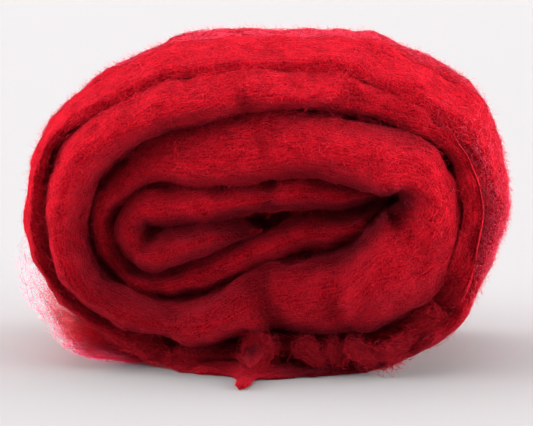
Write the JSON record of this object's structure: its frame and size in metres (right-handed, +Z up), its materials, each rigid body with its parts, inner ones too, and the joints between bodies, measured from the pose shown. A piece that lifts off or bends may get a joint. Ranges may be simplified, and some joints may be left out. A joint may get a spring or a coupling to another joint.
{
  "type": "wool roving roll",
  "caption": "Long strip of soft carded wool roving, folded at its inner end and wound into an oval roll that lies on its side, with a frayed loose outer end.",
  "frame": {"origin": "on the surface the roll lies on, in the middle of its flat spot", "axes": "+X along the long side of the oval, +Y into the roll from its open spiral face, +Z up"},
  "size_m": [0.1261, 0.0622, 0.0856],
  "materials": {
    "crimson_wool": "matt carded wool, fuzzy, crimson",
    "thinned_crimson_wool": "matt carded wool drawn out thin, crimson"
  },
  "bodies": {
    "root": {"roving_roll": "crimson_wool", "loose_end": "thinned_crimson_wool"}
  },
  "joints": []
}
